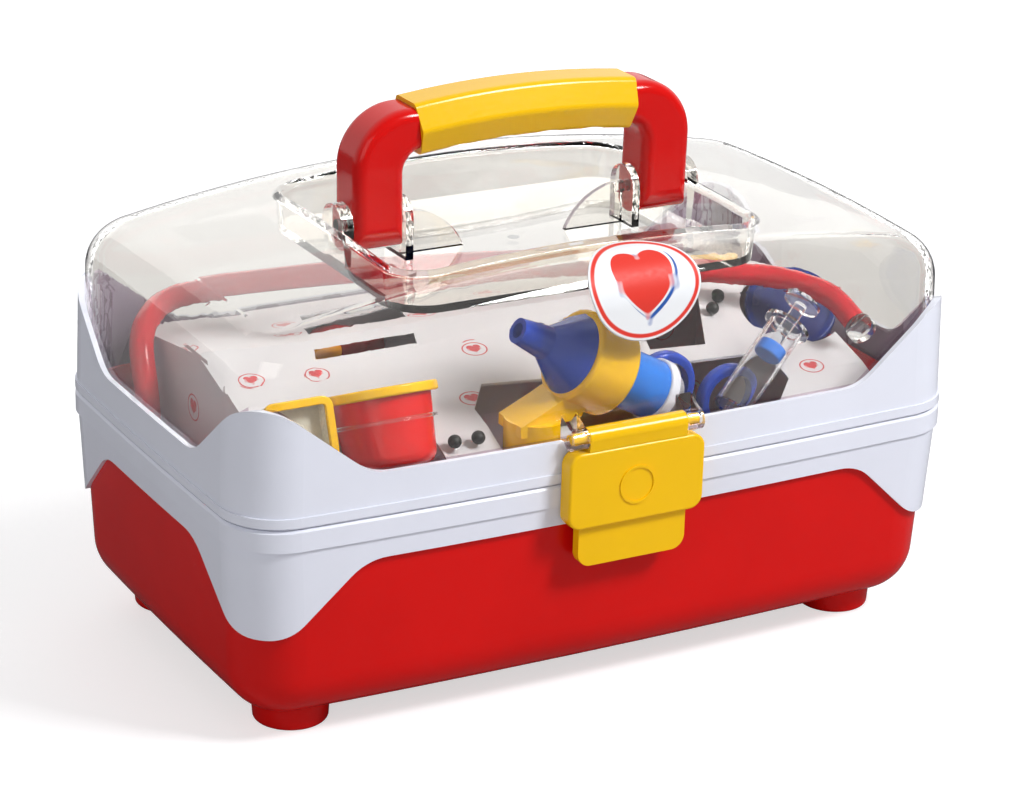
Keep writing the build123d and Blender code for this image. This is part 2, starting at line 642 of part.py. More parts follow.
# ================================================================ latch
with BuildPart() as latch_flap:
    with BuildSketch(Plane.XZ.offset(FLAP_BACK)):
        with Locations((0, (PLATE_TOP + PLATE_BOTTOM) / 2)):
            RectangleRounded(2 * PLATE_HALF, PLATE_TOP - PLATE_BOTTOM, PLATE_R)
    extrude(amount=PLATE_FACE - FLAP_BACK)
    fillet(latch_flap.faces().sort_by(Axis.Y)[0].edges(), FLAP_EDGE)
    with BuildSketch(Plane.XZ.offset(FLAP_BACK)) as tab:
        with Locations((0, (TAB_BOTTOM + PLATE_BOTTOM + PLATE_R) / 2)):
            RectangleRounded(2 * TAB_HALF, PLATE_BOTTOM + PLATE_R - TAB_BOTTOM, TAB_R)
    extrude(amount=TAB_FACE - FLAP_BACK)
    # hollow back
    with BuildSketch(Plane.XZ.offset(FLAP_BACK)):
        with Locations((0, (PLATE_TOP + PLATE_BOTTOM) / 2)):
            RectangleRounded(2 * (PLATE_HALF - FLAP_WALL), PLATE_TOP - PLATE_BOTTOM - 2 * FLAP_WALL,
                             PLATE_R - FLAP_WALL)
    extrude(amount=PLATE_FACE - FLAP_BACK - FLAP_WALL, mode=Mode.SUBTRACT)
    # hook rib that sits under the catch
    with BuildSketch(Plane.XZ.offset(CATCH_FACE + HOOK_GAP)):
        with Locations((0, PLATE_BOTTOM + FLAP_WALL / 2)):
            Rectangle(2 * CATCH_HALF, FLAP_WALL)
    extrude(amount=PLATE_FACE - FLAP_WALL - CATCH_FACE - HOOK_GAP)
    # barrel, its neck and the pegs that snap into the lid's lugs
    with BuildSketch(Plane.YZ.offset(-BARREL_HALF)):
        with Locations((LATCH_AXIS_Y, LATCH_AXIS_Z)):
            Circle(BARREL_R)
        with BuildLine():
            Polyline(
                (LATCH_AXIS_Y - BARREL_R, LATCH_AXIS_Z),
                (LATCH_AXIS_Y + BARREL_R / 2, LATCH_AXIS_Z),
                (-FLAP_BACK - FLAP_WALL / 2, PLATE_TOP - FLAP_WALL / 2),
                (-PLATE_FACE + FLAP_EDGE / 2, PLATE_TOP - FLAP_WALL / 2), close=True,
            )
        make_face()
    extrude(amount=2 * BARREL_HALF)
    for side in (-1, 1):
        with BuildSketch(Plane.YZ.offset(side * BARREL_HALF)):
            with Locations((LATCH_AXIS_Y, LATCH_AXIS_Z)):
                Circle(PEG_R)
        extrude(amount=side * (LATCH_SIDE_GAP + LATCH_LUG - FLAP_EDGE))
    # plain ring on the face
    with BuildSketch(Plane.XZ.offset(PLATE_FACE)):
        with Locations((0, RING_Z)):
            Circle(RING_R)
            Circle(RING_R - 1, mode=Mode.SUBTRACT)
    extrude(amount=COLLAR)
save(latch_flap.part, "latch_flap")

# ================================================================ card insert
def card_deck(shrink):
    """Folded card as a solid block, drawn in by shrink under its outer face."""
    with BuildPart() as block:
        with BuildSketch(Plane.YZ.offset(-CARD_X + shrink)) as profile:
            with BuildLine():
                Polyline(
                    (CARD_FOOT_Y, FLOOR_Z), (CARD_FRONT_Y, CARD_FOOT_Z), (CARD_FRONT_Y, CARD_FRONT_Z),
                    (CARD_CREASE_Y, CARD_CREASE_Z), (CARD_CREST_Y, CARD_CREST_Z),
                    (CARD_BACK_Y, CARD_BACK_Z), (CARD_BACK_Y, FLOOR_Z), close=True,
                )
            make_face()
            if shrink:
                offset(amount=-shrink, kind=Kind.INTERSECTION, mode=Mode.REPLACE)
        extrude(amount=2 * (CARD_X - shrink))
    return block.part


def deck_height(y):
    """Height of the deck's upper face between its crease and its back fold."""
    if y < CARD_CREST_Y:
        slope = (CARD_CREST_Z - CARD_CREASE_Z) / (CARD_CREST_Y - CARD_CREASE_Y)
    else:
        slope = (CARD_BACK_Z - CARD_CREST_Z) / (CARD_BACK_Y - CARD_CREST_Y)
    return CARD_CREST_Z + slope * (y - CARD_CREST_Y)


FLOOR_Z = UNDERSIDE + TUB_WALL + REST_GAP
oto_axis = (OTO_END - OTO_TIP).normalized()
oto_plane = Plane(OTO_TIP, x_dir=(0, 1, 0), z_dir=oto_axis)
head_corner = oto_plane.offset(OTO_CONE).origin - OTO_HEAD_R * Vector(-oto_axis.Z, 0, oto_axis.X)
shoulder = head_corner.Z - OTO_SHOULDER
syr_axis = (SYR_HIGH - SYR_LOW).normalized()
syr_long = (SYR_HIGH - SYR_LOW).length
syr_plane = Plane(SYR_LOW, x_dir=(0, 1, 0), z_dir=syr_axis)
cup_up = Vector(0, sin(radians(CUP_LEAN)), cos(radians(CUP_LEAN)))
cup_plane = Plane(CUP_TOP, x_dir=(1, 0, 0), z_dir=cup_up)
disc_plane = Plane(DISC_AT, x_dir=(1, 0, 0), z_dir=DISC_FACES)

card_blank = card_deck(0)
card_hollow = card_deck(CARD)
with BuildPart() as card_insert:
    add(card_blank)
    add(card_hollow, mode=Mode.SUBTRACT)
    # open underneath
    with BuildSketch(Plane.XY.offset(FLOOR_Z)):
        with Locations((0, (CARD_FRONT_Y + CARD_BACK_Y) / 2)):
            Rectangle(2 * (CARD_X - CARD), CARD_BACK_Y - CARD_FRONT_Y - 2 * CARD)
    extrude(amount=CARD_FOOT_Z - FLOOR_Z + CARD, mode=Mode.SUBTRACT)
    # windows in the deck
    with BuildSketch(Plane.XY.offset(CARD_FRONT_Z - 2 * CARD)):
        with BuildLine():
            Polyline((-79, -4), (-40, -4), (-22, 50), (-64, 41), close=True)
        make_face()
        with BuildLine():
            Polyline((42, -27), (64, -29), (78, 0), (50, 3), close=True)
        make_face()
        with BuildLine():
            Polyline((-37, -71), (-37, -42), (-28, -30), (6, -34), (84, -38), (84, -54),
                     (66, -71), (12, -71), (10, -60), (-9, -60), (-10, -71), close=True)
        make_face()
    extrude(amount=CARD_CREST_Z - CARD_FRONT_Z, mode=Mode.SUBTRACT)
    with BuildSketch(cup_plane):
        Circle(CUP_R + WINDOW_GAP)
    extrude(amount=-CUP_DEEP - WINDOW_GAP, mode=Mode.SUBTRACT)
    with BuildSketch(disc_plane.offset(-DISC_THICK - WINDOW_GAP)):
        Circle(DISC_R + WINDOW_GAP)
    extrude(amount=2 * DISC_THICK + WINDOW_GAP, mode=Mode.SUBTRACT)
    # pocket folded under the rear window
    pocket_x = (POCKET_X[0] + POCKET_X[1]) / 2
    pocket_y = (POCKET_FRONT_Y + CARD_BACK_Y) / 2
    with BuildSketch(Plane.XY.offset(POCKET_Z)):
        with Locations((pocket_x, pocket_y)):
            Rectangle(POCKET_X[1] - POCKET_X[0], CARD_BACK_Y - POCKET_FRONT_Y)
    extrude(amount=deck_height(POCKET_FRONT_Y) - POCKET_Z - CARD / 2)
    with BuildSketch(Plane.XY.offset(POCKET_Z + CARD)):
        with Locations((pocket_x, pocket_y)):
            Rectangle(POCKET_X[1] - POCKET_X[0] - 2 * CARD, CARD_BACK_Y - POCKET_FRONT_Y - 2 * CARD)
    extrude(amount=deck_height(POCKET_FRONT_Y) - POCKET_Z - CARD, mode=Mode.SUBTRACT)
save(card_insert.part, "card_insert")


def turned(plane, rings):
    """Solid of revolution from (height, radius) pairs along a plane's normal."""
    with BuildPart() as body:
        for (low, low_r), (high, high_r) in zip(rings, rings[1:]):
            if high == low:
                continue
            with BuildSketch(plane.offset(low)):
                Circle(low_r)
            with BuildSketch(plane.offset(high)):
                Circle(high_r)
            loft()
    return body.part


# ================================================================ ear and nose lamp
with BuildPart() as otoscope_tip:
    add(turned(oto_plane, ((0, OTO_NOZZLE_R), (OTO_NOZZLE, OTO_NECK_R), (OTO_CONE, OTO_CONE_R))))
    with BuildSketch(oto_plane):
        Circle(OTO_BORE_R)
    extrude(amount=OTO_NOZZLE, mode=Mode.SUBTRACT)
save(otoscope_tip.part, "otoscope_tip")

with BuildPart() as otoscope_head:
    with BuildSketch(oto_plane.offset(OTO_CONE)):
        Circle(OTO_HEAD_R)
    extrude(amount=OTO_HEAD - OTO_CONE)
    fillet(otoscope_head.edges(), OTO_EDGE)
    with BuildSketch(Plane.XY.offset(OTO_HANDLE_BOTTOM)):
        with Locations((OTO_HANDLE_X, OTO_TIP.Y)):
            Circle(OTO_HANDLE_R)
    extrude(amount=shoulder - OTO_HANDLE_BOTTOM)
    fillet(otoscope_head.edges().group_by(Axis.Z)[0], OTO_EDGE)
    with BuildSketch(Plane.XZ.offset(-OTO_TIP.Y - OTO_SADDLE)):
        with BuildLine():
            Polyline(
                (OTO_HANDLE_X - OTO_HANDLE_R + OTO_SADDLE_IN, shoulder - 4),
                (OTO_HANDLE_X - OTO_HANDLE_R + OTO_SADDLE_IN, shoulder),
                (OTO_HANDLE_X + 3, shoulder + 6), (OTO_HANDLE_X + 9, shoulder + 9),
                (OTO_HANDLE_X + 15, shoulder + 3),
                (OTO_HANDLE_X + OTO_HANDLE_R - OTO_SADDLE_IN, shoulder - 4),
                close=True,
            )
        make_face()
    extrude(amount=2 * OTO_SADDLE)
save(otoscope_head.part, "otoscope_head")

with BuildPart() as otoscope_barrel:
    with BuildSketch(oto_plane.offset(OTO_HEAD)):
        Circle(OTO_BARREL_R)
    extrude(amount=OTO_BARREL - OTO_HEAD)
save(otoscope_barrel.part, "otoscope_barrel")

with BuildPart() as otoscope_ring:
    with BuildSketch(oto_plane.offset(OTO_BARREL)):
        Circle(OTO_RING_R)
    extrude(amount=OTO_RING - OTO_BARREL)
    fillet(otoscope_ring.edges(), OTO_EDGE / 2)
save(otoscope_ring.part, "otoscope_ring")

with BuildPart() as otoscope_cap:
    with BuildSketch(oto_plane.offset(OTO_RING)):
        Circle(OTO_CAP_R)
    extrude(amount=OTO_CAP - OTO_RING)
    fillet(otoscope_cap.faces().sort_by(Axis.Z)[0].edges(), OTO_EDGE)
save(otoscope_cap.part, "otoscope_cap")

# ================================================================ cup on its elastic tie
with BuildPart() as cup_body:
    with BuildSketch(cup_plane):
        Circle(CUP_R)
    extrude(amount=-CUP_DEEP, taper=CUP_TAPER)
    fillet(cup_body.faces().sort_by(Axis.Z)[0].edges(), CUP_EDGE)
    with BuildSketch(cup_plane):
        Circle(CUP_R - CUP_WALL)
    extrude(amount=-CUP_DEEP + CUP_WALL, taper=CUP_TAPER, mode=Mode.SUBTRACT)
save(cup_body.part, "cup_body")

with BuildPart() as cup_rim:
    with BuildSketch(cup_plane):
        Circle(CUP_RIM_R)
        Circle(CUP_R - CUP_WALL, mode=Mode.SUBTRACT)
    extrude(amount=CUP_RIM)
    fillet(cup_rim.edges(), CUP_RIM / 4)
save(cup_rim.part, "cup_rim")

with BuildPart() as cup_tie:
    with BuildSketch(Plane(CUP_TOP - CUP_TIE_DOWN * cup_up, x_dir=cup_up, z_dir=(0, cup_up.Z, -cup_up.Y))):
        with Locations((0, CUP_R + TIE_R / 2)):
            Circle(TIE_R)
    revolve(axis=Axis(CUP_TOP, cup_up))
save(cup_tie.part, "cup_tie")

with BuildPart() as tie_knobs:
    for x, y in KNOBS:
        with Locations((x, y, deck_height(y) + KNOB_R + REST_GAP)):
            Sphere(KNOB_R)
save(tie_knobs.part, "tie_knobs")

# ================================================================ scissors
loop_middle = (LOOP_LEFT + LOOP_RIGHT) / 2
loop_apart = (LOOP_RIGHT - LOOP_LEFT).normalized()
pivot = loop_middle + SHANK * Vector(loop_apart.Z, 0, -loop_apart.X)
pivot_plane = Plane(pivot, x_dir=(1, 0, 0), z_dir=(0, -1, 0))


def on_pivot(point):
    """Point as (x, z) from the scissors' pivot."""
    return (point.X - pivot.X, point.Z - pivot.Z)


for name, loop, side in (("left", LOOP_LEFT, 1), ("right", LOOP_RIGHT, -1)):
    aim = (pivot - loop).normalized()
    half_wide = Vector(-aim.Z, 0, aim.X) * BLADE_WIDE / 2
    start = loop + (LOOP_R + LOOP_BORE) / 2 * aim
    with BuildPart() as scissor:
        with BuildSketch(pivot_plane.offset(-LOOP_THICK / 2)):
            with Locations(on_pivot(loop)):
                Circle(LOOP_R)
        extrude(amount=LOOP_THICK)
        fillet(scissor.edges(), LOOP_THICK / 3)
        with BuildSketch(pivot_plane.offset(-side * BLADE_GAP / 2)):
            with BuildLine():
                Polyline(
                    on_pivot(start - half_wide), on_pivot(start + half_wide),
                    on_pivot(pivot + half_wide), on_pivot(pivot + BLADE * aim),
                    on_pivot(pivot - half_wide), close=True,
                )
            make_face()
        extrude(amount=-side * BLADE_THICK)
        with BuildSketch(pivot_plane.offset(-LOOP_THICK)):
            with Locations(on_pivot(loop)):
                Circle(LOOP_BORE)
            Circle(RIVET_R + RUN_FIT)
        extrude(amount=2 * LOOP_THICK, mode=Mode.SUBTRACT)
    save(scissor.part, f"scissors_{name}")

rivet_half = BLADE_GAP / 2 + BLADE_THICK + BLADE_GAP
with BuildPart() as scissors_rivet:
    with BuildSketch(pivot_plane.offset(-rivet_half - RIVET_HEAD)):
        Circle(RIVET_R)
    extrude(amount=2 * (rivet_half + RIVET_HEAD))
    for side in (-1, 1):
        with BuildSketch(pivot_plane.offset(side * rivet_half)):
            Circle(RIVET_HEAD_R)
        extrude(amount=side * RIVET_HEAD, taper=30)
save(scissors_rivet.part, "scissors_rivet")

# ================================================================ syringe
with BuildPart() as syringe_barrel:
    with BuildSketch(syr_plane):
        Circle(SYR_R)
    extrude(amount=syr_long)
    with BuildSketch(syr_plane.offset(syr_long - SYR_FLANGE)):
        Circle(SYR_FLANGE_R)
    extrude(amount=SYR_FLANGE)
    with BuildSketch(syr_plane):
        Circle(SYR_NOZZLE_R)
    extrude(amount=-SYR_NOZZLE)
    with BuildSketch(syr_plane.offset(SYR_WALL)):
        Circle(SYR_R - SYR_WALL)
    extrude(amount=syr_long, mode=Mode.SUBTRACT)
    with BuildSketch(syr_plane.offset(-SYR_NOZZLE)):
        Circle(SYR_NOZZLE_R - SYR_WALL)
    extrude(amount=SYR_NOZZLE + SYR_WALL, mode=Mode.SUBTRACT)
save(syringe_barrel.part, "syringe_barrel")

with BuildPart() as syringe_piston:
    with BuildSketch(syr_plane.offset(PISTON_AT)):
        Circle(SYR_R - SYR_WALL - PISTON_GAP)
    extrude(amount=PISTON)
    fillet(syringe_piston.edges(), PISTON_EDGE)
    with BuildSketch(syr_plane.offset(PISTON_AT + PISTON / 2)):
        Circle(ROD_R)
    extrude(amount=PISTON, mode=Mode.SUBTRACT)
save(syringe_piston.part, "syringe_piston")

with BuildPart() as syringe_plunger:
    with BuildSketch(syr_plane.offset(PISTON_AT + PISTON / 2)):
        Circle(ROD_R)
    extrude(amount=syr_long + ROD_OUT - PISTON_AT - PISTON / 2)
    with BuildSketch(syr_plane.offset(syr_long + ROD_OUT)):
        Circle(THUMB_R)
    extrude(amount=THUMB)
save(syringe_plunger.part, "syringe_plunger")

# ================================================================ head mirror: disc and headband
with BuildPart() as mirror_frame:
    with BuildSketch(disc_plane.offset(-DISC_THICK)):
        Circle(DISC_R)
    extrude(amount=DISC_THICK)
    fillet(mirror_frame.edges(), DISC_SUNK / 2)
    with BuildSketch(disc_plane.offset(-DISC_SUNK)):
        Circle(DISC_R - DISC_RIM)
    extrude(amount=DISC_SUNK, mode=Mode.SUBTRACT)
save(mirror_frame.part, "mirror_frame")

with BuildPart() as mirror_glass:
    with BuildSketch(disc_plane.offset(-DISC_SUNK)):
        Circle(DISC_R - DISC_RIM)
    extrude(amount=DISC_SUNK / 2)
save(mirror_glass.part, "mirror_glass")

# The tube's route is straight runs joined by the largest arcs that fit between them.
route = [Vector(*point) for point in YOKE_ROUTE]
bends = []
for before, point, after in zip(route, route[1:], route[2:]):
    turn = radians((point - before).get_angle(after - point))
    bends.append(ARC_SHARE * min((point - before).length, (after - point).length) / tan(turn / 2))
band_path = FilletPolyline(*route, radius=bends)
with BuildPart() as head_tube:
    with BuildSketch(Plane(band_path @ 0, z_dir=band_path % 0)):
        Circle(YOKE_R)
    sweep(path=band_path)
save(head_tube.part, "head_tube")

with BuildPart() as tube_cap:
    with BuildSketch(Plane(band_path @ 0, z_dir=-(band_path % 0))):
        Circle(YOKE_TIP_R)
    extrude(amount=YOKE_TIP)
    fillet(tube_cap.edges(), YOKE_TIP_R / 3)
save(tube_cap.part, "tube_cap")

# ================================================================ pill tray
tray_plane = Plane(BOX_AT, x_dir=(1, 0, 0), z_dir=(0, -cos(radians(BOX_LEAN)), sin(radians(BOX_LEAN))))
with BuildPart() as pill_tray:
    with BuildSketch(tray_plane.offset(-BOX_DEEP / 2)):
        RectangleRounded(BOX_WIDE - 2 * BOX_WALL, BOX_TALL - 2 * BOX_WALL, BOX_R - BOX_WALL)
    extrude(amount=BOX_DEEP - BOX_RIM)
    with BuildSketch(tray_plane.offset(-BOX_DEEP / 2 + BOX_WALL)):
        RectangleRounded(BOX_WIDE - 4 * BOX_WALL, BOX_TALL - 4 * BOX_WALL, BOX_R - 2 * BOX_WALL)
    extrude(amount=BOX_DEEP, mode=Mode.SUBTRACT)
save(pill_tray.part, "pill_tray")

with BuildPart() as pill_tray_rim:
    with BuildSketch(tray_plane.offset(BOX_DEEP / 2 - BOX_RIM)):
        RectangleRounded(BOX_WIDE, BOX_TALL, BOX_R)
        RectangleRounded(BOX_WIDE - 4 * BOX_WALL, BOX_TALL - 4 * BOX_WALL, BOX_R - 2 * BOX_WALL,
                         mode=Mode.SUBTRACT)
    extrude(amount=BOX_RIM)
    fillet(pill_tray_rim.edges(), BOX_RIM / 4)
save(pill_tray_rim.part, "pill_tray_rim")

# ================================================================ loose pieces on the card
def flat_bar(start, end, wide, thick):
    """Flat bar with round ends between two points."""
    along = end - start
    with BuildPart() as bar:
        with BuildSketch(Plane((start + end) / 2, x_dir=along.normalized(),
                               z_dir=Vector(-along.Y, along.X, 0).cross(along) * -1)):
            SlotOverall(along.length, wide)
        extrude(amount=thick / 2, both=True)
        fillet(bar.edges(), thick / 4)
    return bar.part


with BuildPart() as thermometer:
    add(flat_bar(
        Vector(*STICK_FROM, deck_height(STICK_FROM[1]) + STICK_THICK / 2 + 2 * REST_GAP),
        Vector(*STICK_TO, deck_height(STICK_TO[1]) + STICK_THICK / 2 + 2 * REST_GAP),
        STICK_WIDE, STICK_THICK,
    ))
save(thermometer.part, "thermometer")

pocket_floor = POCKET_Z + CARD + REST_GAP
with BuildPart() as tongue_stick:
    add(flat_bar(
        Vector(SPATULA_X - SPATULA_LONG / 2, SPATULA_Y, pocket_floor + SPATULA_THICK / 2),
        Vector(SPATULA_X + SPATULA_LONG / 2, SPATULA_Y, pocket_floor + SPATULA_THICK / 2),
        SPATULA_WIDE, SPATULA_THICK,
    ))
save(tongue_stick.part, "tongue_stick")

hammer_start = Vector(*HAMMER_FROM, pocket_floor + HEAD_R)
hammer_end = Vector(*HAMMER_TO, pocket_floor + HEAD_R)
hammer_aim = (hammer_end - hammer_start).normalized()
head_aim = Vector(-hammer_aim.Y, hammer_aim.X, 0)
with BuildPart() as hammer_head:
    with BuildSketch(Plane(hammer_end - head_aim * HEAD_LONG / 2, z_dir=head_aim)):
        Circle(HEAD_R)
    extrude(amount=HEAD_LONG)
    fillet(hammer_head.edges(), HEAD_R / 4)
    with BuildSketch(Plane(hammer_start, z_dir=hammer_aim)):
        Circle(HAMMER_R)
    extrude(amount=(hammer_end - hammer_start).length, mode=Mode.SUBTRACT)
save(hammer_head.part, "hammer_head")

with BuildPart() as hammer_handle:
    with BuildSketch(Plane(hammer_start, z_dir=hammer_aim)):
        Circle(HAMMER_R)
    extrude(amount=(hammer_end - hammer_start).length)
    fillet(hammer_handle.faces().sort_by(Axis.X)[0].edges(), HAMMER_R / 3)
save(hammer_handle.part, "hammer_handle")

# ================================================================ sticker over the lid's front edge
sticker_aim = Vector(0, -cos(radians(STICKER_TILT)), sin(radians(STICKER_TILT)))
with BuildPart() as lid_sticker:
    add(lid_form(-STICKER, SPLIT + LID_EDGE))
    add(lid_outside, mode=Mode.SUBTRACT)
    with BuildSketch(Plane(STICKER_AT, x_dir=(1, 0, 0), z_dir=sticker_aim)):
        Ellipse(STICKER_WIDE / 2, STICKER_TALL / 2)
    extrude(amount=LID_EDGE, both=True, mode=Mode.INTERSECT)
save(lid_sticker.part, "lid_sticker")
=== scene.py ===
import math

import bpy
from mathutils import Matrix, Vector

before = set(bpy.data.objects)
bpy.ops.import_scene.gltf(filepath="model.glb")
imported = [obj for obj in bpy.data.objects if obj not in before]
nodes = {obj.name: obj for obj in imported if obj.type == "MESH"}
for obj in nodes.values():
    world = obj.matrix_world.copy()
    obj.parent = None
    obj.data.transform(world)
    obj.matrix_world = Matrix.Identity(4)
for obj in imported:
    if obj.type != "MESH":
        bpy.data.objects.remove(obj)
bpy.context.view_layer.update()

# ---------------------------------------------------------------- what the finishes are painted to
# sizes and places of the part in metres: first the upper band's wavy edge along the clear walls
BAND_VALLEY = 0.0973
BAND_PEAK = 0.1226
END_FLAT, END_SLOPE = 0.0395, 0.84      # half length of the valley, and slope of the wave
SIDE_FLAT, SIDE_SLOPE = 0.0954, 0.80
LID_END = 0.134                         # beyond these a point is on an end or a side wall
LID_SIDE = 0.0735

GATE_R = 0.0022                         # mould's gate mark, on the hand recess's floor
GATE_ABOVE = 0.1395

STICKER_AT = (0.007, -0.0723, 0.143)
STICKER_UP = (0.591, 0.807)             # its upward direction in Y and Z
STICKER_HALF = (0.0215, 0.0175)
BORDER_AT, BORDER_HALF, BORDER_SOFT = 0.93, 0.035, 0.01  # as shares of the half size
HEART_HALF = 0.0114
HEART_OUTLINE = 0.001
HEART_LOW = 0.0008                      # how far the heart sits below the sticker's centre
HEART_DROP = 0.0009                     # offset of the blue shadow behind it
HEART_SOFT = 0.012
HEART_UNIT = 0.88                       # the heart curve's unit, as a share of its half width

CARD_PRINTS = 24.0                      # printed cells along a metre of card
CARD_SCATTER = 0.55
PRINT_RING = 0.0046
PRINT_LINE, PRINT_LINE_SOFT = 0.00028, 0.0001
PRINT_HEART, PRINT_HEART_SOFT = 0.0027, 0.05

PLASTIC_IOR = 1.5


# ---------------------------------------------------------------- node helpers
class Nodes:
    """Small node expressions in one tree: each method adds a node and gives its output."""

    COLOUR_A, COLOUR_B, COLOUR_OUT = 6, 7, 2  # the Mix node's sockets for colours

    def __init__(self, tree):
        self.tree = tree

    def put(self, socket, value):
        if isinstance(value, bpy.types.NodeSocket):
            self.tree.links.new(value, socket)
        else:
            socket.default_value = value

    def outputs(self, kind):
        return self.tree.nodes.new(kind).outputs

    def math(self, operation, a, b=0.0, clamp=False):
        node = self.tree.nodes.new("ShaderNodeMath")
        node.operation = operation
        node.use_clamp = clamp
        self.put(node.inputs[0], a)
        self.put(node.inputs[1], b)
        return node.outputs[0]

    def add(self, a, b):
        return self.math("ADD", a, b)

    def sub(self, a, b, clamp=False):
        return self.math("SUBTRACT", a, b, clamp)

    def mul(self, a, b):
        return self.math("MULTIPLY", a, b)

    def max(self, a, b):
        return self.math("MAXIMUM", a, b)

    def abs(self, a):
        return self.math("ABSOLUTE", a)

    def above(self, a, limit):
        return self.math("GREATER_THAN", a, limit)

    def below(self, a, limit):
        return self.math("LESS_THAN", a, limit)

    def far(self, x, y):
        """Distance from the origin of a plane."""
        return self.math("SQRT", self.add(self.mul(x, x), self.mul(y, y)))

    def split(self, vector):
        node = self.tree.nodes.new("ShaderNodeSeparateXYZ")
        self.put(node.inputs[0], vector)
        return node.outputs

    def join(self, *values):
        node = self.tree.nodes.new("ShaderNodeCombineXYZ")
        for socket, value in zip(node.inputs, values):
            self.put(socket, value)
        return node.outputs[0]

    def ramp(self, value, low, high, out_low=0.0, out_high=1.0):
        """A value taken in a straight line from low..high to out_low..out_high, and held there."""
        node = self.tree.nodes.new("ShaderNodeMapRange")
        limits = {"From Min": low, "From Max": high, "To Min": out_low, "To Max": out_high}
        for key, number in limits.items():
            node.inputs[key].default_value = number
        self.put(node.inputs["Value"], value)
        return node.outputs[0]

    def mix(self, factor, a, b):
        node = self.tree.nodes.new("ShaderNodeMix")
        node.data_type = "RGBA"
        self.put(node.inputs["Factor"], factor)
        self.put(node.inputs[self.COLOUR_A], a)
        self.put(node.inputs[self.COLOUR_B], b)
        return node.outputs[self.COLOUR_OUT]

    def unbounced(self, rays):
        """1 for light that no matt surface has scattered on its way to the camera."""
        return self.below(rays["Diffuse Depth"], 0.5)

    def seen(self, rays):
        """1 for what is looked at, by itself or through clear plastic."""
        looking = self.max(rays["Is Camera Ray"], rays["Is Transmission Ray"])
        return self.mul(looking, self.unbounced(rays))


class Shader(Nodes):
    """A Principled material in object coordinates."""

    def __init__(self, name):
        self.material = bpy.data.materials.new(name)
        self.material.use_nodes = True
        super().__init__(self.material.node_tree)
        self.bsdf = self.tree.nodes["Principled BSDF"]
        self.coords = self.outputs("ShaderNodeTexCoord")["Object"]

    def set(self, key, value):
        self.put(self.bsdf.inputs[key], value)

    def noise(self, scale, detail=2.0):
        """Soft noise, whose scale is about how many patches lie along a metre."""
        node = self.tree.nodes.new("ShaderNodeTexNoise")
        self.put(node.inputs["Vector"], self.coords)
        node.inputs["Scale"].default_value = scale
        node.inputs["Detail"].default_value = detail
        return node.outputs[0]

    def patches(self, noise, low, high, first, second):
        """Soft patches of two colours."""
        return self.mix(self.ramp(noise, low, high), first, second)

    def bump(self, height, distance, strength=1.0):
        node = self.tree.nodes.new("ShaderNodeBump")
        self.put(node.inputs["Height"], height)
        node.inputs["Distance"].default_value = distance
        node.inputs["Strength"].default_value = strength
        self.set("Normal", node.outputs[0])


def rgba(r, g, b):
    return (r, g, b, 1.0)


def shaded(colour, share):
    return rgba(*(part * share for part in colour))


# ---------------------------------------------------------------- plain finishes
def moulded(name, colour, roughness=0.2, shade=0.93):
    """Glossy injection-moulded plastic: faint flow marks, a slightly wavy gloss, fine scuffs."""
    s = Shader(name)
    flow = s.noise(22.0, 3.0)
    scuffs = s.noise(900.0, 4.0)
    ripples = s.noise(60.0, 1.0)
    s.set("Base Color", s.patches(flow, 0.35, 0.65, shaded(colour, shade), rgba(*colour)))
    s.set("Roughness", s.ramp(scuffs, 0.3, 0.75, roughness * 0.85, roughness * 1.35))
    s.bump(ripples, distance=0.00004)
    s.set("IOR", PLASTIC_IOR)
    s.set("Specular IOR Level", 0.35)
    return s.material


def clear(name, tint, index, shadow, coat, painted_backing=None):
    """Thin clear moulding: it hardly bends what is behind it, and its coat gives the gloss.

    shadow is how dark a shadow it casts, and the backing function puts painted shade on the wall
    where something shows through it.
    """
    s = Shader(name)
    colour = s.patches(s.noise(14.0), 0.3, 0.7, rgba(*tint), shaded(tint, 0.985))
    if painted_backing:
        colour = painted_backing(s, colour)
    s.set("Base Color", colour)
    s.set("Roughness", s.ramp(s.noise(700.0, 3.0), 0.4, 0.8, 0.0, 0.02))
    s.set("Transmission Weight", 1.0)
    s.set("IOR", index)
    s.set("Coat Weight", coat)
    s.set("Coat IOR", PLASTIC_IOR)
    s.set("Coat Roughness", 0.02)
    rays = s.outputs("ShaderNodeLightPath")
    s.set("Alpha", s.ramp(rays["Is Shadow Ray"], 0.0, 1.0, 1.0, shadow))
    return s.material


def steel():
    """Brushed steel of the hinge pins."""
    s = Shader("steel_pins")
    s.set("Base Color", s.mix(s.noise(300.0), rgba(0.45, 0.45, 0.47), rgba(0.62, 0.62, 0.65)))
    s.set("Metallic", 1.0)
    s.set("Roughness", s.ramp(s.noise(500.0), 0.3, 0.7, 0.22, 0.4))
    return s.material


def mirror():
    """Dark blue glossy face of the head piece."""
    s = Shader("mirror_face")
    s.set("Base Color", s.mix(s.noise(30.0), rgba(0.012, 0.02, 0.11), rgba(0.02, 0.03, 0.17)))
    s.set("Roughness", s.ramp(s.noise(80.0), 0.3, 0.7, 0.2, 0.3))
    return s.material


# ---------------------------------------------------------------- painted finishes
def wave_height(s, along, flat, slope):
    """Height of the upper band's wavy edge at a distance along a wall."""
    rise = s.mul(s.sub(s.abs(along), flat), slope)
    return s.math("MINIMUM", s.max(s.add(rise, BAND_VALLEY), BAND_VALLEY), BAND_PEAK)


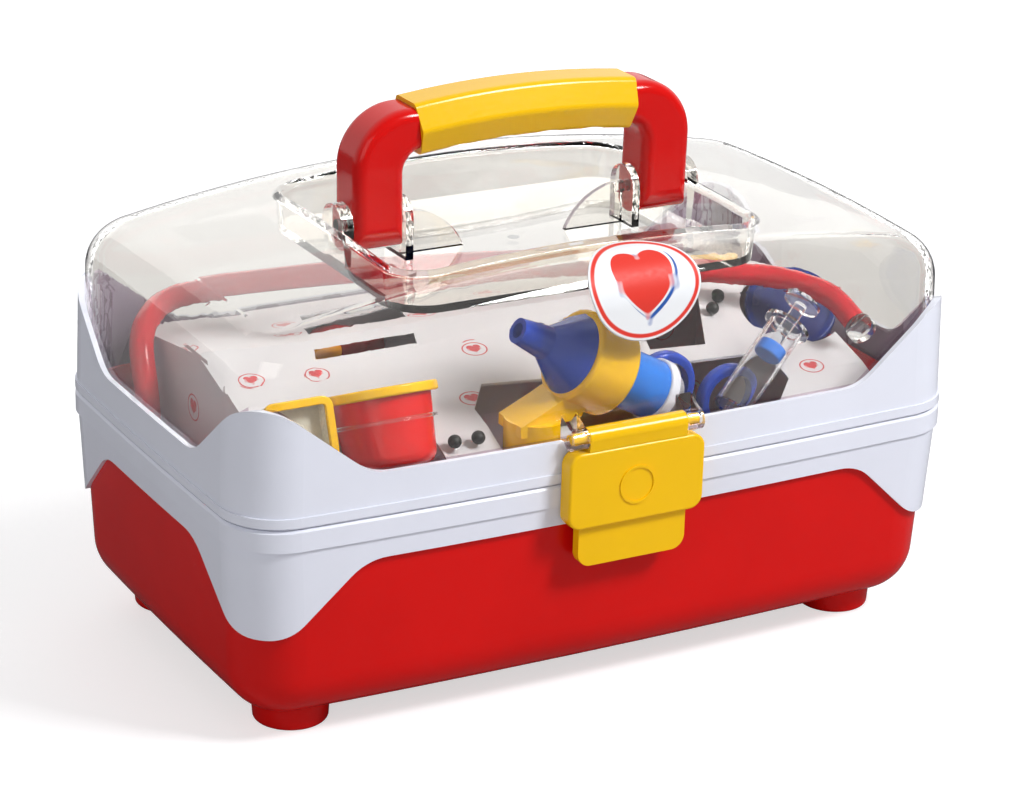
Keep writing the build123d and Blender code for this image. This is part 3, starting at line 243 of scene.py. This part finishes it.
def painted_band_shade_and_gate(s, colour):
    """Painted shade: the clear wall is painted dark mauve where the band backs it, standing in for
    the band's shaded inner side, and it has a gate mark in the recess.
    """
    x, y, z = s.split(s.coords)
    at_end = s.above(s.abs(x), LID_END)
    at_side = s.sub(s.above(s.abs(y), LID_SIDE), at_end, clamp=True)
    end_edge = s.mul(wave_height(s, y, END_FLAT, END_SLOPE), at_end)
    side_edge = s.mul(wave_height(s, x, SIDE_FLAT, SIDE_SLOPE), at_side)
    # painted shade: dark mauve on the clear wall below the band's wavy edge, for the band's shaded
    # inner side
    colour = s.mix(s.below(z, s.max(end_edge, side_edge)), colour, rgba(0.50, 0.37, 0.44))
    gate = s.mul(s.below(s.far(x, y), GATE_R), s.above(z, GATE_ABOVE))
    return s.mix(gate, colour, rgba(0.45, 0.45, 0.46))


def heart(s, x, y, half):
    """Below zero inside a heart of the given half width, and steeply above it further out."""
    unit = half * HEART_UNIT
    x = s.math("DIVIDE", x, unit)
    y = s.math("DIVIDE", y, unit)
    xx = s.mul(x, x)
    circle = s.sub(s.add(xx, s.mul(y, y)), 1.0)
    cube = s.mul(circle, s.mul(circle, circle))
    notch = s.mul(xx, s.mul(y, s.mul(y, y)))
    return s.sub(cube, notch)


def inside(s, distance, soft):
    """1 where the distance is below zero, with a soft edge."""
    return s.ramp(distance, -soft, soft, 1.0, 0.0)


def line(s, distance, half, soft):
    """1 within half a line's width of where the distance is zero, with a soft edge."""
    return s.ramp(s.abs(distance), half - soft, half + soft, 1.0, 0.0)


def sticker_print():
    """White label with a red border, and a white-edged red heart over a blue shadow."""
    s = Shader("sticker_print")
    x, y, z = s.split(s.coords)
    u = s.sub(x, STICKER_AT[0])
    v = s.add(s.mul(s.sub(y, STICKER_AT[1]), STICKER_UP[0]),
              s.mul(s.sub(z, STICKER_AT[2]), STICKER_UP[1]))
    edge = s.far(s.math("DIVIDE", u, STICKER_HALF[0]), s.math("DIVIDE", v, STICKER_HALF[1]))
    red = rgba(0.78, 0.045, 0.03)
    blue = rgba(0.02, 0.10, 0.42)
    white = rgba(0.86, 0.88, 0.92)
    pale = rgba(0.9, 0.91, 0.93)
    colour = s.patches(s.noise(40.0), 0.3, 0.7, white, pale)
    colour = s.mix(line(s, s.sub(edge, BORDER_AT), BORDER_HALF, BORDER_SOFT), colour, red)
    height = s.add(v, HEART_LOW)
    dropped = s.sub(u, HEART_DROP), s.add(height, HEART_DROP)
    outlined = HEART_HALF + HEART_OUTLINE
    for (across, up), half, paint in (
        (dropped, outlined, blue),
        ((u, height), outlined, white),
        ((u, height), HEART_HALF, red),
    ):
        colour = s.mix(inside(s, heart(s, across, up, half), HEART_SOFT), colour, paint)
    s.set("Base Color", colour)
    s.set("Roughness", s.ramp(s.noise(500.0), 0.3, 0.7, 0.4, 0.5))
    s.set("Specular IOR Level", 0.25)
    s.bump(s.noise(90.0), distance=0.00003)
    return s.material


def card_print():
    """Slightly crumpled white card with small hearts in rings scattered over it."""
    s = Shader("card_print")
    x, y, z = s.split(s.coords)
    normal = s.split(s.outputs("ShaderNodeTexCoord")["Normal"])
    at_end = s.above(s.abs(normal[0]), 0.7)
    elsewhere = s.sub(1.0, at_end)
    along = s.add(s.mul(x, elsewhere), s.mul(y, at_end))
    across = s.add(s.mul(y, elsewhere), z)
    flat = s.join(along, across, 0.0)

    cells = s.tree.nodes.new("ShaderNodeTexVoronoi")
    cells.voronoi_dimensions = "2D"
    cells.inputs["Scale"].default_value = CARD_PRINTS
    cells.inputs["Randomness"].default_value = CARD_SCATTER
    s.put(cells.inputs["Vector"], flat)
    from_print = s.tree.nodes.new("ShaderNodeVectorMath")
    from_print.operation = "SUBTRACT"
    s.put(from_print.inputs[0], flat)
    s.put(from_print.inputs[1], cells.outputs["Position"])
    u, v, _ = s.split(from_print.outputs[0])

    red = rgba(0.55, 0.06, 0.07)
    white = rgba(0.72, 0.71, 0.745)
    dull = rgba(0.64, 0.63, 0.665)
    colour = s.patches(s.noise(12.0, 3.0), 0.35, 0.65, dull, white)
    ring = line(s, s.sub(s.far(u, v), PRINT_RING), PRINT_LINE, PRINT_LINE_SOFT)
    colour = s.mix(ring, colour, red)
    colour = s.mix(inside(s, heart(s, u, v, PRINT_HEART), PRINT_HEART_SOFT), colour, red)
    s.set("Base Color", colour)
    s.set("Roughness", s.ramp(s.noise(300.0), 0.3, 0.7, 0.3, 0.42))
    s.bump(s.noise(18.0, 3.0), distance=0.0012, strength=0.6)
    return s.material


# ---------------------------------------------------------------- finish of each node
RED = moulded("gloss_red", (0.72, 0.005, 0.004), 0.16)
WHITE = moulded("gloss_white", (0.82, 0.84, 0.94), 0.2, shade=0.97)
YELLOW = moulded("gloss_yellow", (0.97, 0.56, 0.003), 0.2, shade=0.96)
DARK_BLUE = moulded("gloss_dark_blue", (0.003, 0.016, 0.17), 0.2)
BLUE = moulded("gloss_blue", (0.006, 0.05, 0.46), 0.18)
LIGHT_BLUE = moulded("gloss_light_blue", (0.012, 0.19, 0.75), 0.2)
GREY = moulded("gloss_grey", (0.32, 0.32, 0.37), 0.25)
ORANGE = moulded("gloss_orange", (0.75, 0.30, 0.01), 0.22)
DARK_RED = moulded("gloss_dark_red", (0.32, 0.008, 0.012), 0.2)
CREAM = moulded("gloss_cream", (0.80, 0.77, 0.66), 0.25)
TUBE_RED = moulded("gloss_tube_red", (0.55, 0.012, 0.022), 0.15)
BLACK = moulded("matt_black", (0.012, 0.012, 0.012), 0.5)
CLEAR = clear("clear_lid", tint=(0.95, 0.935, 0.90), index=1.12, shadow=0.12, coat=1.0,
              painted_backing=painted_band_shade_and_gate)
CLEAR_SMALL = clear("clear_small", tint=(0.94, 0.95, 0.97), index=1.25, shadow=0.2, coat=0.6)

finish_of = {
    # the case
    "tub": RED, "lower_band": WHITE, "upper_band": WHITE, "lid_dome": CLEAR,
    "hinge_pins": steel(), "latch_flap": YELLOW, "lid_sticker": sticker_print(),
    # its handle
    "handle_frame": RED, "grip_front": YELLOW, "grip_rear": YELLOW, "handle_pins": CLEAR_SMALL,
    # the card and the instruments on it
    "card_insert": card_print(), "tie_knobs": BLACK,
    "otoscope_tip": BLUE, "otoscope_head": YELLOW, "otoscope_barrel": LIGHT_BLUE,
    "otoscope_ring": WHITE, "otoscope_cap": GREY,
    "cup_body": RED, "cup_rim": YELLOW, "cup_tie": CLEAR_SMALL,
    "scissors_left": BLUE, "scissors_right": BLUE, "scissors_rivet": BLUE,
    "syringe_barrel": CLEAR_SMALL, "syringe_piston": LIGHT_BLUE, "syringe_plunger": CLEAR_SMALL,
    "mirror_frame": DARK_BLUE, "mirror_glass": mirror(),
    "head_tube": TUBE_RED, "tube_cap": CLEAR_SMALL,
    "pill_tray": CREAM, "pill_tray_rim": YELLOW,
    "thermometer": YELLOW, "tongue_stick": LIGHT_BLUE,
    "hammer_head": DARK_RED, "hammer_handle": ORANGE,
}
for name, finish in finish_of.items():
    node = nodes[name]
    node.data.materials.clear()
    node.data.materials.append(finish)

# ---------------------------------------------------------------- camera
AZIMUTH = math.radians(-29.25)
ELEVATION = math.radians(21.15)
ROLL = math.radians(1.64)
SENSOR_MM = 36.0
LENS_MM = 113.71
CAMERA_AIM = Vector((0, 0, 0.090))
DISTANCE = 1.16286
ASIDE = 0.000887                        # small moves of the camera across its view
UPWARDS = -0.01181

back = Vector((math.sin(AZIMUTH) * math.cos(ELEVATION),
               -math.cos(AZIMUTH) * math.cos(ELEVATION),
               math.sin(ELEVATION)))
level = Vector((math.cos(AZIMUTH), math.sin(AZIMUTH), 0))
upright = back.cross(level)
right = math.cos(ROLL) * level + math.sin(ROLL) * upright
up = -math.sin(ROLL) * level + math.cos(ROLL) * upright
place = CAMERA_AIM + back * DISTANCE + right * ASIDE + up * UPWARDS

camera_data = bpy.data.cameras.new("camera")
camera_data.sensor_fit = "HORIZONTAL"
camera_data.sensor_width = SENSOR_MM
camera_data.lens = LENS_MM
camera_data.clip_start = 0.05
camera = bpy.data.objects.new("camera", camera_data)
camera.matrix_world = Matrix.Translation(place) @ Matrix((right, up, back)).transposed().to_4x4()
bpy.context.scene.collection.objects.link(camera)
bpy.context.scene.camera = camera

# ---------------------------------------------------------------- floor
FLOOR_SIZE = 12.0
GLOW_NEAR, GLOW_FAR = 0.62, 1.0         # the floor's own light, which whitens it far away
GLOW_FROM, GLOW_TO = 0.4, 1.4           # distances between which it rises

bpy.ops.mesh.primitive_plane_add(size=FLOOR_SIZE, location=(0, 0, 0))
floor = bpy.context.object
floor.name = "floor"
look = Shader("floor_look")
rays = look.outputs("ShaderNodeLightPath")
pale = look.mix(look.noise(3.0), rgba(0.52, 0.52, 0.53), rgba(0.55, 0.55, 0.56))
look.set("Base Color", look.mix(rays["Is Glossy Ray"], pale, rgba(0.16, 0.16, 0.17)))
look.set("Roughness", 0.7)
look.set("Specular IOR Level", 0.2)
look.set("Emission Color", rgba(1.0, 1.0, 1.0))
x, y, _ = look.split(look.coords)
glow = look.ramp(look.far(x, y), GLOW_FROM, GLOW_TO, GLOW_NEAR, GLOW_FAR)
look.set("Emission Strength", look.mul(look.seen(rays), glow))
floor.data.materials.append(look.material)

# ---------------------------------------------------------------- room
# white where it is looked at or mirrored towards the back, and dim in front and for matt light
AMBIENT = 0.35
GLOSS_FRONT, GLOSS_BACK = 0.12, 1.0
FRONT_UNTIL, BACK_FROM = -0.3, 0.5      # headings in Y between which the mirrored room brightens

world = bpy.data.worlds.new("studio")
world.use_nodes = True
bpy.context.scene.world = world
background = world.node_tree.nodes["Background"]
background.inputs["Color"].default_value = rgba(1.0, 1.0, 1.0)
room = Nodes(world.node_tree)
rays = room.outputs("ShaderNodeLightPath")
heading = room.split(room.outputs("ShaderNodeTexCoord")["Generated"])["Y"]
mirrored = room.ramp(heading, FRONT_UNTIL, BACK_FROM, GLOSS_FRONT, GLOSS_BACK)
in_gloss = room.mul(rays["Is Glossy Ray"], room.unbounced(rays))
elsewhere = room.mul(room.sub(1.0, in_gloss), AMBIENT)
strength = room.max(room.seen(rays), room.max(room.mul(in_gloss, mirrored), elsewhere))
room.put(background.inputs["Strength"], strength)

# ---------------------------------------------------------------- lamps
LAMP_AIM = Vector((0, 0, 0.1))


def lamp(name, place, size, power, shows_in_gloss=True):
    data = bpy.data.lights.new(name, "AREA")
    data.shape = "RECTANGLE"
    data.size, data.size_y = size
    data.energy = power
    light = bpy.data.objects.new(name, data)
    light.location = place
    light.rotation_euler = (LAMP_AIM - Vector(place)).to_track_quat("-Z", "Y").to_euler()
    light.visible_glossy = shows_in_gloss
    bpy.context.scene.collection.objects.link(light)


lamp("key", place=(0.75, -0.95, 1.35), size=(0.4, 0.4), power=24.0)
lamp("fill", place=(-1.3, -0.9, 0.8), size=(1.0, 1.0), power=4.0)
lamp("back", place=(0.5, 1.5, 0.85), size=(1.8, 1.0), power=8.0, shows_in_gloss=False)

bpy.context.scene.view_settings.view_transform = "Standard"
